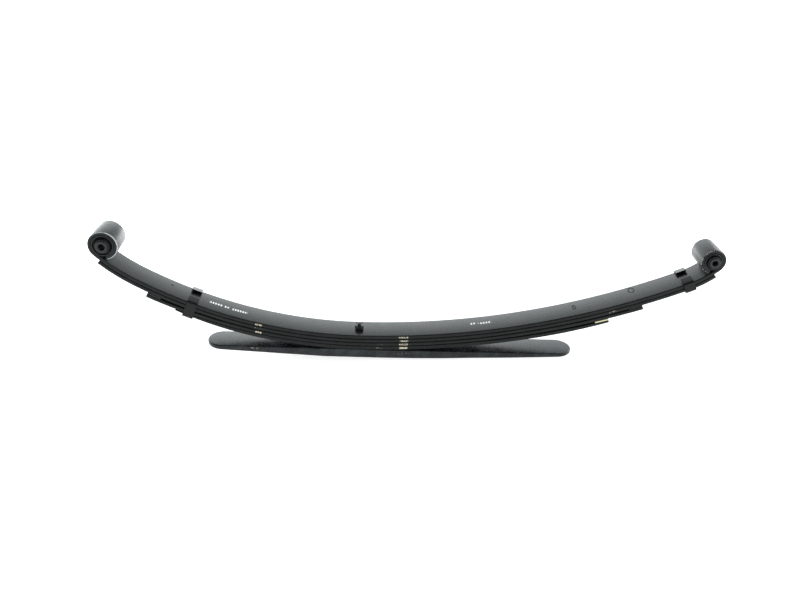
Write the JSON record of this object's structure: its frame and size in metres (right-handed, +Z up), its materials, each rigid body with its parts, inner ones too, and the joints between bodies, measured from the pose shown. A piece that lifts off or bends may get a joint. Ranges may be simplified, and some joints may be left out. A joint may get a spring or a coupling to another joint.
{
  "type": "leaf spring",
  "caption": "Cambered multi-leaf suspension spring with rolled eyes, rubber bushes, rebound clips, centre bolt and a straight overload leaf under the pack.",
  "frame": {"origin": "centre of the spring's flat seat, under the overload leaf on the centre bolt's axis", "axes": "+X along the spring towards the longer arm and its rear eye, +Z up along the centre bolt towards its nut, +Y across the leaves"},
  "size_m": [1.5422, 0.094, 0.3384],
  "materials": {
    "leaf_paint": "satin black paint over rolled spring steel",
    "clip_paint": "satin black paint over folded steel strap",
    "bolt_steel": "black finished steel, satin",
    "sleeve_steel": "thin steel shell, lightly oxidised bare rim",
    "core_steel": "dark phosphated steel tube, satin",
    "rubber": "moulded black rubber, matt",
    "liner_black": "black moulded friction pad",
    "liner_pale": "pale yellow moulded friction pad"
  },
  "bodies": {
    "leaf_pack": {"main_leaf": "leaf_paint", "second_leaf": "leaf_paint", "third_leaf": "leaf_paint", "fourth_leaf": "leaf_paint", "overload_leaf": "leaf_paint", "centre_bolt": "bolt_steel", "centre_bolt_nut": "bolt_steel"},
    "front_arm": {"front_clip": "clip_paint", "front_clip_rivet": "bolt_steel", "third_leaf_front_liner": "liner_black"},
    "front_eye": {"front_bush_outer_sleeve": "sleeve_steel", "front_bush_rubber": "rubber"},
    "front_bush_core": {"front_bush_inner_sleeve": "core_steel"},
    "rear_arm": {"fourth_leaf_rear_liner": "liner_pale", "third_leaf_rear_liner": "liner_black"},
    "rear_eye": {"rear_clip": "clip_paint", "rear_clip_rivet": "bolt_steel", "rear_bush_outer_sleeve": "sleeve_steel", "rear_bush_rubber": "rubber"},
    "rear_bush_core": {"rear_bush_inner_sleeve": "core_steel"}
  },
  "joints": [
    {"name": "front_arm_flex", "type": "hinge", "parent": "leaf_pack", "child": "front_arm", "pos_m": [-0.1866, 0, 0.0644], "axis": [0, -1, 0], "range_deg": [-1, 13], "stiffness_Nm_per_rad": 14700, "deforming": ["main_leaf", "second_leaf", "third_leaf", "fourth_leaf"]},
    {"name": "front_eye_flex", "type": "hinge", "parent": "front_arm", "child": "front_eye", "pos_m": [-0.4532, 0, 0.1433], "axis": [0, -1, 0], "range_deg": [-1.1, 13.1], "stiffness_Nm_per_rad": 4900, "deforming": ["main_leaf", "second_leaf", "third_leaf", "fourth_leaf"]},
    {"name": "rear_arm_flex", "type": "hinge", "parent": "leaf_pack", "child": "rear_arm", "pos_m": [0.2432, 0, 0.0639], "axis": [0, 1, 0], "range_deg": [-0.8, 10], "stiffness_Nm_per_rad": 15300, "deforming": ["main_leaf", "second_leaf", "third_leaf", "fourth_leaf"]},
    {"name": "rear_eye_flex", "type": "hinge", "parent": "rear_arm", "child": "rear_eye", "pos_m": [0.6221, 0, 0.1489], "axis": [0, 1, 0], "range_deg": [-0.8, 10], "stiffness_Nm_per_rad": 5800, "deforming": ["main_leaf", "second_leaf", "third_leaf", "fourth_leaf"]},
    {"name": "front_bush_twist", "type": "hinge", "parent": "front_eye", "child": "front_bush_core", "pos_m": [-0.6144, 0, 0.2894], "axis": [0, 1, 0], "range_deg": [-25, 25], "stiffness_Nm_per_rad": 60},
    {"name": "rear_bush_twist", "type": "hinge", "parent": "rear_eye", "child": "rear_bush_core", "pos_m": [0.8605, 0, 0.2981], "axis": [0, 1, 0], "range_deg": [-25, 25], "stiffness_Nm_per_rad": 50}
  ],
  "couplings": [
    {"joint": "front_eye_flex", "follows": "front_arm_flex", "ratio": 1},
    {"joint": "rear_arm_flex", "follows": "front_arm_flex", "ratio": 0.76},
    {"joint": "rear_eye_flex", "follows": "front_arm_flex", "ratio": 0.76}
  ]
}
